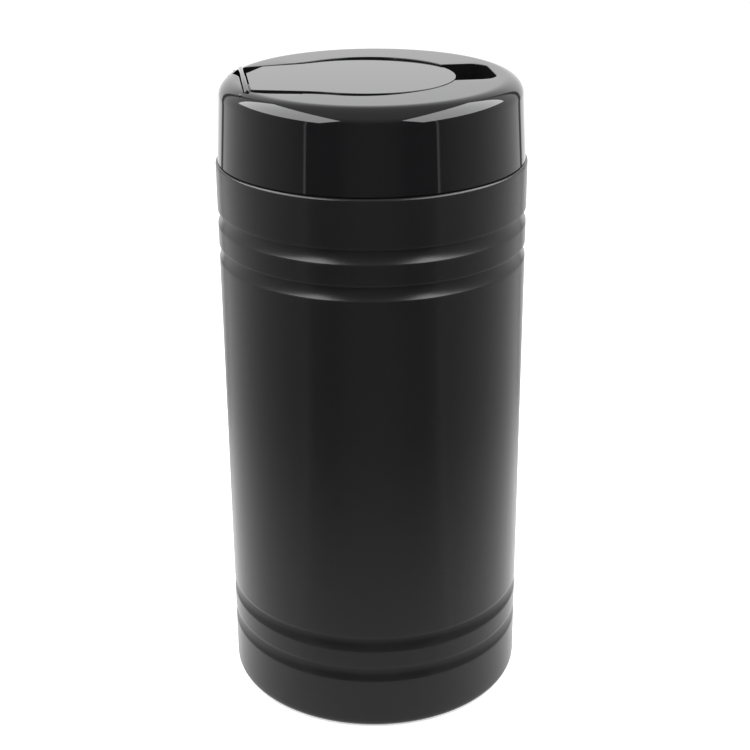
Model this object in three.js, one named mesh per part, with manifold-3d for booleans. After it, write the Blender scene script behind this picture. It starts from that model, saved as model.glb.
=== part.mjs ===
// Wipes canister: a blow-moulded bottle, a press-on cap with a flip lid, and a roll of wipes inside.
// Millimetres, +Z up. The origin is the centre of the foot, and +X points at the finger notch.
import * as THREE from 'three';
import { mergeVertices } from 'three/addons/utils/BufferGeometryUtils.js';
import Module from 'manifold-3d';

const wasm = await Module();
wasm.setup();

// Bottle
const bottleRadius = 52.5;
const shoulderHeight = 194.3;
const bottleWall = 1.2;
const shoulderEdgeRadius = 0.8;
const footEdgeRadius = 3.5;
const footRingWidth = 3.0;
const pushUpHeight = 4.0;
const pushUpSlopeWidth = 4.0;

// Grooves that stiffen the bottle wall, each placed by the height of its crisp upper lip
const grooveLipHeights = [24.8, 37.0, 166.0, 178.1];
const grooveHeight = 5.2;
const grooveDepth = 1.15;
const grooveLipHeight = 1.0;

// Neck inside the cap
const neckRadius = 48.2;
const neckHeight = 16.0;
const neckWall = 1.4;
const snapBeadOffset = 10.0;
const snapBeadHeight = 3.0;
const snapBeadDepth = 0.8;

// Cap
const capHeight = 27.3;
const capFootInset = 0.7;
const capDraft = 1.2;
const capWall = 1.6;
const capDeck = 1.8;
const capEdgeWidth = 6.3;
const capEdgeHeight = 5.7;
const snapRibOffset = 4.0;
const snapRibHeight = 3.0;
const plugWall = 1.2;
const plugDepth = 4.3;
const pocketWall = 1.3;

// Flip lid and the recess it lies in
const lidRadius = 29.55;
const lidCentreX = -1.5;
const lidThickness = 1.8;
const lidEdgeBevel = 0.2;
const lidTailHalfWidth = 18.55;
const lidTailTaper = THREE.MathUtils.degToRad(14);
const lidArcEnd = THREE.MathUtils.degToRad(118);
const lidBlendLength = 4.3;
const lidCornerCut = { far: [9.5, 6.0], near: [0.8, 0.8] };
const lidRoll = THREE.MathUtils.degToRad(-0.9);
const lidPitch = THREE.MathUtils.degToRad(0.49);
const lidTiltX = -12.0;
const recessDepth = 2.9;

// Hinge strap across the back of the recess
const strapX = -42.0;
const strapWidth = 1.9;
const strapStandProud = 0.5;

// Relief pocket at the far end of the strap
const reliefDepth = 4.0;
const reliefRadius = 46.6;
const reliefRimY = 11.0;
const reliefTabY = 4.5;

// Finger notch in front of the lid
const notchWidth = 25.0;
const notchStartX = 24.0;
const notchEndX = 40.8;
const notchCornerRadius = 6.0;
const notchDepth = 6.0;

// Dispensing well, its collar and the slit hole that grips the wipe
const wellRadius = 22.0;
const wellDepth = 9.0;
const collarRadius = 12.8;
const collarWall = 1.3;
const collarHeight = 4.4;
const orificeRadius = 6.5;
const slitCount = 6;
const slitReach = 9.2;
const slitWidth = 1.0;
const sealRingWall = 1.2;
const sealRingEngagement = 1.8;

// Roll of wipes
const rollRadius = 45.5;
const rollHeight = 170.0;
const rollCoreRadius = 12.0;
const rollEdgeRadius = 1.5;
const leadWipeRadius = 4.5;
const leadWipeTipRadius = 5.6;
const leadWipeTipEdge = 1.5;
const leadWipeRootHeight = 112.0;
const leadWipeRootLength = 10.0;
const leadWipeConeRadius = 8.0;
const leadWipeConeLength = 20.0;
const leadWipeGripLength = 22.0;
const leadWipeTipClearance = 2.2;
const leadWipeFolds = 5;
const leadWipeFoldDepth = 0.12;
const leadWipeTwist = THREE.MathUtils.degToRad(150);

// Clearances
const runningGap = 0.45;
const strapGap = 0.3;
const restGap = 0.3;
const snapGap = 0.35;
const sealGap = 0.7;

const turnSegments = 48;
const overcut = 1.0;

// Heights and radii that follow from the sizes above
const neckTopZ = shoulderHeight + neckHeight;
const capFootZ = shoulderHeight + restGap;
const capTopZ = shoulderHeight + capHeight;
const capFootRadius = bottleRadius - capFootInset;
const capTopRadius = capFootRadius - capDraft;
const capFlatRadius = capTopRadius - capEdgeWidth;
const deckUnderZ = capTopZ - capDeck;
const recessFloorZ = capTopZ - recessDepth;
const wellFloorZ = capTopZ - wellDepth;
const lidUnderZ = capTopZ - lidThickness;
const lidTailX = strapX + strapWidth / 2 + strapGap;
const strapBackX = strapX - strapWidth / 2 - strapGap;
const strapLength = 2 * (lidTailHalfWidth + runningGap);
const neckInnerRadius = neckRadius - neckWall;
const snapBeadRadius = neckRadius + snapBeadDepth;
const rollSeatZ = pushUpHeight + bottleWall + restGap;

// Geometry and solids

function toSolid(geometry) {
  const bare = geometry.index ? geometry : geometry.clone();
  bare.deleteAttribute('normal');
  bare.deleteAttribute('uv');
  const merged = mergeVertices(bare, 1e-4);
  const index = merged.index.array;
  const triangles = [];
  for (let i = 0; i < index.length; i += 3) {
    const [a, b, c] = [index[i], index[i + 1], index[i + 2]];
    if (a !== b && b !== c && c !== a) triangles.push(a, b, c);
  }
  return new wasm.Manifold(new wasm.Mesh({
    numProp: 3,
    vertProperties: Float32Array.from(merged.attributes.position.array),
    triVerts: Uint32Array.from(triangles),
  }));
}

function toMesh(solid, name, material) {
  const { vertProperties, triVerts } = solid.getMesh();
  const geometry = new THREE.BufferGeometry();
  geometry.setAttribute('position', new THREE.Float32BufferAttribute(vertProperties, 3));
  geometry.setIndex(Array.from(triVerts));
  geometry.computeVertexNormals();
  const mesh = new THREE.Mesh(geometry, material);
  mesh.name = name;
  return mesh;
}

// A solid of revolution about Z from [radius, height] pairs
function turned(profile, segments = turnSegments) {
  const points = profile.map(([radius, height]) => new THREE.Vector2(radius, height));
  return toSolid(new THREE.LatheGeometry(points, segments).rotateX(Math.PI / 2));
}

// A ring of rectangular section about Z
function ring(innerRadius, outerRadius, lowZ, highZ) {
  return turned([
    [innerRadius, lowZ],
    [outerRadius, lowZ],
    [outerRadius, highZ],
    [innerRadius, highZ],
    [innerRadius, lowZ],
  ]);
}

// An upright solid with the given outline between two heights
function prism(shape, lowZ, highZ, curveSegments = 12) {
  const options = { depth: highZ - lowZ, bevelEnabled: false, curveSegments };
  return toSolid(new THREE.ExtrudeGeometry(shape, options).translate(0, 0, lowZ));
}

// Points of a quarter ellipse from one end to the other, both included
function quarterArc(centre, radii, startAngle, endAngle, steps) {
  const points = [];
  for (let i = 0; i <= steps; i += 1) {
    const angle = startAngle + ((endAngle - startAngle) * i) / steps;
    points.push([centre[0] + radii[0] * Math.cos(angle), centre[1] + radii[1] * Math.sin(angle)]);
  }
  return points;
}

// Bottle

// One groove from its foot up to its lip: a long easy slope, then a short crisp rise
function groove(radius, lipZ, steps) {
  const footZ = lipZ - grooveHeight;
  const bottomZ = lipZ - grooveLipHeight;
  const points = [];
  for (let i = 0; i <= steps; i += 1) {
    const share = i / steps;
    const depth = (grooveDepth * (1 - Math.cos(Math.PI * share))) / 2;
    points.push([radius - depth, footZ + (bottomZ - footZ) * share]);
  }
  points.push([radius - grooveDepth / 3, lipZ - grooveLipHeight / 4]);
  points.push([radius, lipZ + grooveLipHeight / 4]);
  return points;
}

function bottleOuterProfile() {
  const footRadius = bottleRadius - footEdgeRadius;
  const ringInner = footRadius - footRingWidth;
  return [
    [0, pushUpHeight],
    [ringInner - pushUpSlopeWidth, pushUpHeight],
    [ringInner, 0],
    ...quarterArc([footRadius, footEdgeRadius], [footEdgeRadius, footEdgeRadius], -Math.PI / 2, 0, 4),
    ...grooveLipHeights.flatMap((lipZ) => groove(bottleRadius, lipZ, 4)),
    ...quarterArc(
      [bottleRadius - shoulderEdgeRadius, shoulderHeight - shoulderEdgeRadius],
      [shoulderEdgeRadius, shoulderEdgeRadius], 0, Math.PI / 2, 3),
  ];
}

function neckProfile() {
  const beadFootZ = shoulderHeight + snapBeadOffset;
  return [
    [neckRadius, shoulderHeight],
    [neckRadius, beadFootZ - snapBeadHeight / 4],
    [snapBeadRadius, beadFootZ + snapBeadHeight / 3],
    [snapBeadRadius, beadFootZ + snapBeadHeight / 2],
    [neckRadius, beadFootZ + snapBeadHeight],
    [neckRadius, neckTopZ],
    [neckInnerRadius, neckTopZ],
  ];
}

function bottleInnerProfile() {
  const innerRadius = bottleRadius - bottleWall;
  const footRadius = bottleRadius - footEdgeRadius;
  const ringInner = footRadius - footRingWidth;
  const innerEdge = footEdgeRadius - bottleWall;
  return [
    [neckInnerRadius, shoulderHeight - bottleWall],
    [innerRadius, shoulderHeight - bottleWall],
    ...grooveLipHeights.toReversed().flatMap((lipZ) => groove(innerRadius, lipZ, 2).toReversed()),
    ...quarterArc([footRadius, footEdgeRadius], [innerEdge, innerEdge], 0, -Math.PI / 2, 2),
    [ringInner, bottleWall],
    [ringInner - pushUpSlopeWidth, pushUpHeight + bottleWall],
    [0, pushUpHeight + bottleWall],
  ];
}

function bottle() {
  return turned([...bottleOuterProfile(), ...neckProfile(), ...bottleInnerProfile()]);
}

// Lid outline, shared by the lid, its recess and the pocket wall around the recess

// Half of the outline on the far side, from the round front back to the tail, grown by a margin
function lidFarSide(growth) {
  const radius = lidRadius + growth;
  const slope = Math.tan(lidTailTaper);
  const tailHalfWidth = lidTailHalfWidth + growth / Math.cos(lidTailTaper);
  const arcEnd = [lidCentreX + radius * Math.cos(lidArcEnd), radius * Math.sin(lidArcEnd)];
  const arcSlope = -Math.cos(lidArcEnd) / Math.sin(lidArcEnd);
  const tailLine = (x) => tailHalfWidth + slope * (x - lidTailX);
  const controlX = (arcEnd[1] - arcSlope * arcEnd[0] - tailLine(0)) / (slope - arcSlope);
  const blendEndX = controlX - lidBlendLength;
  return { radius, tailLine, arcEnd, controlX, blendEndX };
}

// Outline of the lid or its recess: round at the front, narrowing to the tail at tailX
function lidOutline(growth, tailX, cornerCut) {
  const side = lidFarSide(growth);
  const farCut = cornerCut ? cornerCut.far : [0, 0];
  const nearCut = cornerCut ? cornerCut.near : [0, 0];
  const shape = new THREE.Shape();
  shape.absarc(lidCentreX, 0, side.radius, -lidArcEnd, lidArcEnd, false);
  shape.quadraticCurveTo(side.controlX, side.tailLine(side.controlX),
    side.blendEndX, side.tailLine(side.blendEndX));
  shape.lineTo(tailX + farCut[1], side.tailLine(tailX + farCut[1]));
  shape.lineTo(tailX, side.tailLine(tailX) - farCut[0]);
  shape.lineTo(tailX, -side.tailLine(tailX) + nearCut[0]);
  shape.lineTo(tailX + nearCut[1], -side.tailLine(tailX + nearCut[1]));
  shape.lineTo(side.blendEndX, -side.tailLine(side.blendEndX));
  shape.quadraticCurveTo(side.controlX, -side.tailLine(side.controlX),
    side.arcEnd[0], -side.arcEnd[1]);
  return shape;
}

// Finger notch: straight back, outer corners rounded
function notchOutline(growth) {
  const half = notchWidth / 2 + growth;
  const start = notchStartX - growth;
  const end = notchEndX + growth;
  const corner = notchCornerRadius + growth;
  const shape = new THREE.Shape();
  shape.moveTo(start, -half);
  shape.lineTo(end - corner, -half);
  shape.absarc(end - corner, -half + corner, corner, -Math.PI / 2, 0, false);
  shape.absarc(end - corner, half - corner, corner, 0, Math.PI / 2, false);
  shape.lineTo(start, half);
  return shape;
}

// Relief pocket at the far end of the strap, where the lid's corner is cut and the rim is opened
function reliefOutline(growth) {
  const [cutWidth, cutLength] = lidCornerCut.far;
  const { tailLine } = lidFarSide(runningGap + growth);
  const outer = reliefRadius + growth;
  const frontX = lidTailX + cutLength + growth;
  const rimY = reliefRimY - growth;
  const openX = -Math.sqrt(outer ** 2 - tailLine(strapX) ** 2);
  const shape = new THREE.Shape();
  shape.moveTo(strapBackX - growth, reliefTabY - growth);
  shape.lineTo(lidTailX, tailLine(lidTailX) - cutWidth - 2 * growth);
  shape.lineTo(frontX, tailLine(frontX));
  const startAngle = Math.atan2(tailLine(strapX), openX);
  const endAngle = Math.PI - Math.asin(rimY / outer);
  const steps = 5;
  for (let i = 0; i <= steps; i += 1) {
    const angle = startAngle + ((endAngle - startAngle) * i) / steps;
    shape.lineTo(outer * Math.cos(angle), outer * Math.sin(angle));
  }
  return shape;
}

// Cap

function capShell() {
  const ribRadius = snapBeadRadius + snapGap;
  const ribFootZ = capFootZ + snapRibOffset;
  const edgeCentre = [capFlatRadius, capTopZ - capEdgeHeight];
  const wallAt = (z) => capFootRadius - capWall
    - (capDraft * (z - capFootZ)) / (edgeCentre[1] - capFootZ);
  return turned([
    [wallAt(capFootZ), capFootZ],
    [capFootRadius, capFootZ],
    ...quarterArc(edgeCentre, [capEdgeWidth, capEdgeHeight], 0, Math.PI / 2, 7),
    [0, capTopZ],
    [0, deckUnderZ],
    ...quarterArc(edgeCentre, [capEdgeWidth - capWall, capEdgeHeight - capDeck], Math.PI / 2, 0, 4),
    [wallAt(ribFootZ + snapRibHeight), ribFootZ + snapRibHeight],
    [ribRadius, ribFootZ + (snapRibHeight * 2) / 3],
    [ribRadius, ribFootZ + snapRibHeight / 3],
    [wallAt(ribFootZ), ribFootZ],
    [wallAt(capFootZ), capFootZ],
  ]);
}

// The pockets sunk into the deck, each with its own outline and depth
function capPockets() {
  return [
    { outline: (growth) => lidOutline(runningGap + growth, strapBackX - growth), depth: recessDepth },
    { outline: notchOutline, depth: notchDepth },
    { outline: reliefOutline, depth: reliefDepth },
    {
      outline: (growth) => new THREE.Shape().absarc(0, 0, wellRadius + growth, 0, 2 * Math.PI, false),
      depth: wellDepth,
    },
  ];
}

// Strap: an upright web with a round top, standing on the recess floor
function hingeStrap() {
  const radius = strapWidth / 2;
  const footZ = recessFloorZ - overcut / 4;
  const crownZ = capTopZ + strapStandProud - radius;
  const section = new THREE.Shape();
  section.moveTo(-radius, footZ);
  section.lineTo(radius, footZ);
  section.lineTo(radius, crownZ);
  section.absarc(0, crownZ, radius, 0, Math.PI, false);
  const options = { depth: strapLength, bevelEnabled: false, curveSegments: 8 };
  const bar = new THREE.ExtrudeGeometry(section, options);
  bar.rotateX(Math.PI / 2);
  bar.translate(strapX, strapLength / 2, 0);
  return toSolid(bar);
}

// The hole in the well floor with slits around it, which grips the wipe
function orifice() {
  const lowZ = wellFloorZ - pocketWall - overcut;
  const highZ = wellFloorZ + overcut;
  const hole = new THREE.Shape().absarc(0, 0, orificeRadius, 0, 2 * Math.PI, false);
  let cut = prism(hole, lowZ, highZ);
  for (let i = 0; i < slitCount; i += 1) {
    const slit = new THREE.BoxGeometry(slitReach, slitWidth, highZ - lowZ);
    slit.translate(slitReach / 2, 0, (lowZ + highZ) / 2);
    slit.rotateZ((2 * Math.PI * i) / slitCount);
    cut = cut.add(toSolid(slit));
  }
  return cut;
}

function cap() {
  let body = capShell();
  const plugRadius = neckInnerRadius - snapGap;
  body = body.add(ring(plugRadius - plugWall, plugRadius, neckTopZ - plugDepth, deckUnderZ + capDeck / 2));
  for (const { outline, depth } of capPockets()) {
    body = body.add(prism(outline(pocketWall), capTopZ - depth - pocketWall, deckUnderZ + capDeck / 2));
  }
  for (const { outline, depth } of capPockets()) {
    body = body.subtract(prism(outline(0), capTopZ - depth, capTopZ + overcut));
  }
  const collarFootZ = wellFloorZ - pocketWall / 2;
  body = body.add(ring(collarRadius - collarWall, collarRadius, collarFootZ, wellFloorZ + collarHeight));
  return body.subtract(orifice()).add(hingeStrap());
}

// Flip lid: a flat plate with softened edges and a seal ring that plugs the collar

function flipLid() {
  const options = {
    depth: lidThickness - 2 * lidEdgeBevel,
    bevelThickness: lidEdgeBevel,
    bevelSize: lidEdgeBevel,
    bevelOffset: -lidEdgeBevel,
    bevelSegments: 1,
    curveSegments: 28,
  };
  const plate = new THREE.ExtrudeGeometry(lidOutline(0, lidTailX, lidCornerCut), options);
  plate.translate(0, 0, lidUnderZ + lidEdgeBevel);
  const ringRadius = collarRadius - collarWall - sealGap;
  const ringFootZ = wellFloorZ + collarHeight - sealRingEngagement;
  return toSolid(plate).add(
    ring(ringRadius - sealRingWall, ringRadius, ringFootZ, lidUnderZ + lidThickness / 2));
}

// Roll of wipes, wound on itself round an open core, with its inner end drawn up as a twisted lead

function rollBody() {
  const topZ = rollSeatZ + rollHeight;
  const edge = [rollEdgeRadius, rollEdgeRadius];
  const [outer, inner] = [rollRadius - rollEdgeRadius, rollCoreRadius + rollEdgeRadius];
  const low = rollSeatZ + rollEdgeRadius;
  const high = topZ - rollEdgeRadius;
  return turned([
    ...quarterArc([inner, low], edge, -Math.PI, -Math.PI / 2, 2),
    ...quarterArc([outer, low], edge, -Math.PI / 2, 0, 2),
    ...quarterArc([outer, high], edge, 0, Math.PI / 2, 2),
    ...quarterArc([inner, high], edge, Math.PI / 2, Math.PI, 2),
    [rollCoreRadius, low],
  ]);
}

function leadWipe() {
  const rootZ = rollSeatZ + leadWipeRootHeight;
  const tipZ = lidUnderZ - leadWipeTipClearance;
  const rootRadius = rollCoreRadius + 2 * rollEdgeRadius;
  const gripZ = wellFloorZ - pocketWall / 2;
  const points = [
    [0, rootZ],
    [rootRadius, rootZ],
    [rootRadius, rootZ + leadWipeRootLength],
    [leadWipeConeRadius, rootZ + leadWipeRootLength + leadWipeConeLength],
    [leadWipeRadius, gripZ - leadWipeGripLength],
    [leadWipeRadius, gripZ],
    [leadWipeTipRadius, tipZ - leadWipeTipEdge],
    [leadWipeTipRadius - leadWipeTipEdge, tipZ],
    [0, tipZ],
  ];
  const profile = points.map(([radius, z]) => new THREE.Vector2(radius, z));
  const lead = new THREE.LatheGeometry(profile, 30).rotateX(Math.PI / 2);
  const positions = lead.attributes.position;
  for (let i = 0; i < positions.count; i += 1) {
    const [x, y, z] = [positions.getX(i), positions.getY(i), positions.getZ(i)];
    const angle = Math.atan2(y, x);
    const fold = Math.cos(leadWipeFolds * (angle + (leadWipeTwist * (z - rootZ)) / (tipZ - rootZ)));
    const scale = 1 - (leadWipeFoldDepth * (1 - fold)) / 2;
    positions.setXY(i, x * scale, y * scale);
  }
  return toSolid(lead);
}

// Assembly

const glossBlack = new THREE.MeshStandardMaterial({ color: 0x0d0d0f, roughness: 0.12, metalness: 0 });
const mattBlack = new THREE.MeshStandardMaterial({ color: 0x1b1b1d, roughness: 0.5, metalness: 0 });
const wetWhite = new THREE.MeshStandardMaterial({ color: 0xeceeed, roughness: 0.85, metalness: 0 });

const canister = new THREE.Group();
canister.add(toMesh(bottle(), 'canister_body', mattBlack));
canister.add(toMesh(rollBody().add(leadWipe()), 'wipes_roll', wetWhite));
canister.add(toMesh(cap(), 'cap', glossBlack));

// The lid lies a hair out of true in its recess: near edge proud, far front edge sunk
const lidSeat = new THREE.Group();
lidSeat.position.set(lidTiltX, 0, capTopZ);
lidSeat.rotation.set(lidRoll, lidPitch, 0);
const lid = toMesh(flipLid(), 'flip_lid', glossBlack);
lid.position.set(-lidTiltX, 0, -capTopZ);
lidSeat.add(lid);
canister.add(lidSeat);

export default canister;
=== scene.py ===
import math

import bmesh
import bpy
from mathutils import Matrix, Vector


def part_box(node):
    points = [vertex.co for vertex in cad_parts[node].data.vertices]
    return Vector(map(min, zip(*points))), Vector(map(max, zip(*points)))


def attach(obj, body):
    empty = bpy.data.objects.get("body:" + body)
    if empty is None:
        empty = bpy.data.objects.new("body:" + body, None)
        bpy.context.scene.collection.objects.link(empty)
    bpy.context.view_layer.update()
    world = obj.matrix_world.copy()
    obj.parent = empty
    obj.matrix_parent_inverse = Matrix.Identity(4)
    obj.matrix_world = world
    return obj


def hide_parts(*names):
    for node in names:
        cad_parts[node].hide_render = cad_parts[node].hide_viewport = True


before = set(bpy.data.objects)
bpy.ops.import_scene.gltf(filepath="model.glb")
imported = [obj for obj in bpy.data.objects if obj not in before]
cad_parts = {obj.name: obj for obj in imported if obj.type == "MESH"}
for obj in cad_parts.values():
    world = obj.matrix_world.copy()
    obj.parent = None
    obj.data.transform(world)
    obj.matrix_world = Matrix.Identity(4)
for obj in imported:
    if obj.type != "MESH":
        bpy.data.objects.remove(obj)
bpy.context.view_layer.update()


# Camera
# It looks down on the cap from a little above, with a long lens, about half a metre away.
# The lid's axis points seven and a half degrees off the picture's right.
CAMERA_DISTANCE = 0.5123
CAMERA_HEIGHT = 0.3297
CAMERA_AZIMUTH = math.radians(7.5)
CAMERA_YAW = math.radians(0.07)
CAMERA_PITCH = math.radians(22.84)
CAMERA_ROLL = math.radians(0.42)
CAMERA_LENS = 74.64
CAMERA_CLIP = 0.01
PICTURE_TURN = Matrix.Rotation(-CAMERA_AZIMUTH, 3, "Z")


def place_camera():
    forward = PICTURE_TURN @ Vector((
        math.sin(CAMERA_YAW) * math.cos(CAMERA_PITCH),
        math.cos(CAMERA_YAW) * math.cos(CAMERA_PITCH),
        -math.sin(CAMERA_PITCH)))
    right = PICTURE_TURN @ Vector((math.cos(CAMERA_YAW), -math.sin(CAMERA_YAW), 0))
    down = forward.cross(right)
    level_right = right * math.cos(CAMERA_ROLL) + down * math.sin(CAMERA_ROLL)
    level_up = right * math.sin(CAMERA_ROLL) - down * math.cos(CAMERA_ROLL)
    data = bpy.data.cameras.new("camera")
    data.lens = CAMERA_LENS
    data.clip_start = CAMERA_CLIP
    camera = bpy.data.objects.new("camera", data)
    bpy.context.collection.objects.link(camera)
    facing = Matrix((level_right, level_up, -forward)).transposed()
    spot = PICTURE_TURN @ Vector((0, -CAMERA_DISTANCE, CAMERA_HEIGHT))
    camera.matrix_world = Matrix.Translation(spot) @ facing.to_4x4()
    bpy.context.scene.camera = camera


place_camera()


# Floor and light tent
# A white floor in a white tent, dark at its front opening, grey along its sides and bright behind.
# A broad lamp leans in from each side over the canister, and a large one hangs above it.
FLOOR_SIZE = 6.0
FLOOR_WHITE = 0.86
FLOOR_LIFT = 0.5
TENT_WHITE = 1.25
# How far round from the front opening to the back, and how bright the wall is there: a bright slit
# stands beside the opening, and a dark seam before the back wall
TENT_STOPS = [
    (0.000, 0.09), (0.090, 0.07), (0.140, 0.02), (0.262, 0.03), (0.266, 0.70), (0.271, 0.70),
    (0.275, 0.10), (0.450, 0.28), (0.640, 0.60), (0.770, 0.82), (0.782, 0.12), (0.802, 0.12),
    (0.814, 1.0)]
# Between these radii the mirrored floor fades from its own tone to the tent's
NEAR_FLOOR = (0.05, 0.28)
NEAR_FLOOR_FRONT = 0.62
NEAR_FLOOR_SIDES = 2.6
# The tent's wall turns into its roof where the direction points this far up
ROOF_RISE = (0.35, 0.8)
ROOF_WHITE = 0.5
SIDE_LAMP_SIZE = (0.33, 0.9)
SIDE_LAMP_OUT = 0.385
SIDE_LAMP_CENTRE = -0.20
SIDE_LAMP_HEIGHT = 0.515
SIDE_LAMP_AIM = 0.2
SIDE_LAMP_POWER = 5.2
ROOF_LAMP_SIZE = (1.2, 1.2)
ROOF_LAMP_CENTRE = 0.1
ROOF_LAMP_HEIGHT = 1.3
ROOF_LAMP_AIM = 0.1
ROOF_LAMP_POWER = 4.5


def node(tree, kind, **values):
    made = tree.nodes.new(kind)
    for name, value in values.items():
        setattr(made, name, value)
    return made


def tent_group():
    # Brightness of the tent's wall by compass direction, the same on both sides of the opening
    group = bpy.data.node_groups.new("tent brightness", "ShaderNodeTree")
    group.interface.new_socket("Direction", in_out="INPUT", socket_type="NodeSocketVector")
    group.interface.new_socket("Brightness", in_out="OUTPUT", socket_type="NodeSocketFloat")
    group.interface.new_socket("Share", in_out="OUTPUT", socket_type="NodeSocketFloat")
    inputs = node(group, "NodeGroupInput")
    outputs = node(group, "NodeGroupOutput")
    to_camera = node(group, "ShaderNodeMapping")
    to_camera.inputs["Rotation"].default_value = (0, 0, CAMERA_AZIMUTH)
    split = node(group, "ShaderNodeSeparateXYZ")
    forward = node(group, "ShaderNodeMath", operation="MULTIPLY")
    forward.inputs[1].default_value = -1
    azimuth = node(group, "ShaderNodeMath", operation="ARCTAN2")
    either_side = node(group, "ShaderNodeMath", operation="ABSOLUTE")
    share = node(group, "ShaderNodeMath", operation="DIVIDE")
    share.inputs[1].default_value = math.pi
    ramp = node(group, "ShaderNodeValToRGB")
    elements = ramp.color_ramp.elements
    elements.remove(elements[1])
    for index, (place, grey) in enumerate(TENT_STOPS):
        element = elements[0] if index == 0 else elements.new(place)
        element.position = place
        element.color = (grey, grey, grey, 1)
    bright = node(group, "ShaderNodeMath", operation="MULTIPLY")
    bright.inputs[1].default_value = TENT_WHITE
    join = group.links.new
    join(inputs.outputs["Direction"], to_camera.inputs["Vector"])
    join(to_camera.outputs["Vector"], split.inputs[0])
    join(split.outputs["Y"], forward.inputs[0])
    join(split.outputs["X"], azimuth.inputs[0])
    join(forward.outputs[0], azimuth.inputs[1])
    join(azimuth.outputs[0], either_side.inputs[0])
    join(either_side.outputs[0], share.inputs[0])
    join(share.outputs[0], ramp.inputs["Fac"])
    join(ramp.outputs["Color"], bright.inputs[0])
    join(bright.outputs[0], outputs.inputs["Brightness"])
    join(share.outputs[0], outputs.inputs["Share"])
    return group


TENT = tent_group()


def add_floor():
    # White to the camera, with the canister's shadow; mirrored, it shows the tones of the tent
    mesh = bpy.data.meshes.new("floor")
    half = FLOOR_SIZE / 2
    corners = [(-half, -half, 0), (half, -half, 0), (half, half, 0), (-half, half, 0)]
    mesh.from_pydata(corners, [], [(0, 1, 2, 3)])
    floor = bpy.data.objects.new("floor", mesh)
    bpy.context.collection.objects.link(floor)
    material = bpy.data.materials.new("white floor")
    material.use_nodes = True
    tree = material.node_tree
    shader = tree.nodes["Principled BSDF"]
    shader.inputs["Base Color"].default_value = (FLOOR_WHITE, FLOOR_WHITE, FLOOR_WHITE, 1)
    shader.inputs["Roughness"].default_value = 1.0
    shader.inputs["Specular IOR Level"].default_value = 0.0
    path = node(tree, "ShaderNodeLightPath")
    glow = node(tree, "ShaderNodeEmission")
    add = node(tree, "ShaderNodeAddShader")
    lift = node(tree, "ShaderNodeMath", operation="MULTIPLY")
    lift.inputs[1].default_value = FLOOR_LIFT
    place = node(tree, "ShaderNodeTexCoord")
    tent = node(tree, "ShaderNodeGroup", node_tree=TENT)
    reach = node(tree, "ShaderNodeVectorMath", operation="LENGTH")
    near = node(tree, "ShaderNodeMapRange")
    near.inputs["From Min"].default_value = NEAR_FLOOR[0]
    near.inputs["From Max"].default_value = NEAR_FLOOR[1]
    near.inputs["To Min"].default_value = 1
    near.inputs["To Max"].default_value = 0
    squared = node(tree, "ShaderNodeMath", operation="POWER")
    squared.inputs[1].default_value = 2
    near_tone = node(tree, "ShaderNodeMath", operation="MULTIPLY_ADD")
    near_tone.inputs[1].default_value = NEAR_FLOOR_SIDES
    near_tone.inputs[2].default_value = NEAR_FLOOR_FRONT
    blend = node(tree, "ShaderNodeMix", data_type="FLOAT")
    mirrored = node(tree, "ShaderNodeEmission")
    mix = node(tree, "ShaderNodeMixShader")
    join = tree.links.new
    join(path.outputs["Is Camera Ray"], lift.inputs[0])
    join(lift.outputs[0], glow.inputs["Strength"])
    join(shader.outputs[0], add.inputs[0])
    join(glow.outputs[0], add.inputs[1])
    join(place.outputs["Object"], tent.inputs["Direction"])
    join(place.outputs["Object"], reach.inputs[0])
    join(reach.outputs["Value"], near.inputs["Value"])
    join(tent.outputs["Share"], squared.inputs[0])
    join(squared.outputs[0], near_tone.inputs[0])
    join(near.outputs["Result"], blend.inputs["Factor"])
    join(tent.outputs["Brightness"], blend.inputs["A"])
    join(near_tone.outputs[0], blend.inputs["B"])
    join(blend.outputs["Result"], mirrored.inputs["Strength"])
    join(path.outputs["Is Glossy Ray"], mix.inputs[0])
    join(add.outputs[0], mix.inputs[1])
    join(mirrored.outputs[0], mix.inputs[2])
    join(mix.outputs[0], tree.nodes["Material Output"].inputs["Surface"])
    mesh.materials.append(material)


def add_tent():
    # White to the camera; the canister is lit by the tent's own tones
    world = bpy.data.worlds.new("light tent")
    world.use_nodes = True
    bpy.context.scene.world = world
    tree = world.node_tree
    walls = tree.nodes["Background"]
    walls.inputs["Color"].default_value = (1, 1, 1, 1)
    spot = node(tree, "ShaderNodeTexCoord")
    tent = node(tree, "ShaderNodeGroup", node_tree=TENT)
    split = node(tree, "ShaderNodeSeparateXYZ")
    roof = node(tree, "ShaderNodeMapRange")
    roof.inputs["From Min"].default_value = ROOF_RISE[0]
    roof.inputs["From Max"].default_value = ROOF_RISE[1]
    blend = node(tree, "ShaderNodeMix", data_type="FLOAT")
    blend.inputs["B"].default_value = ROOF_WHITE
    white = node(tree, "ShaderNodeBackground")
    white.inputs["Color"].default_value = (1, 1, 1, 1)
    path = node(tree, "ShaderNodeLightPath")
    mix = node(tree, "ShaderNodeMixShader")
    join = tree.links.new
    join(spot.outputs["Generated"], tent.inputs["Direction"])
    join(spot.outputs["Generated"], split.inputs[0])
    join(split.outputs["Z"], roof.inputs["Value"])
    join(roof.outputs["Result"], blend.inputs["Factor"])
    join(tent.outputs["Brightness"], blend.inputs["A"])
    join(blend.outputs["Result"], walls.inputs["Strength"])
    join(path.outputs["Is Camera Ray"], mix.inputs[0])
    join(walls.outputs[0], mix.inputs[1])
    join(white.outputs[0], mix.inputs[2])
    join(mix.outputs[0], tree.nodes["World Output"].inputs["Surface"])


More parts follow.
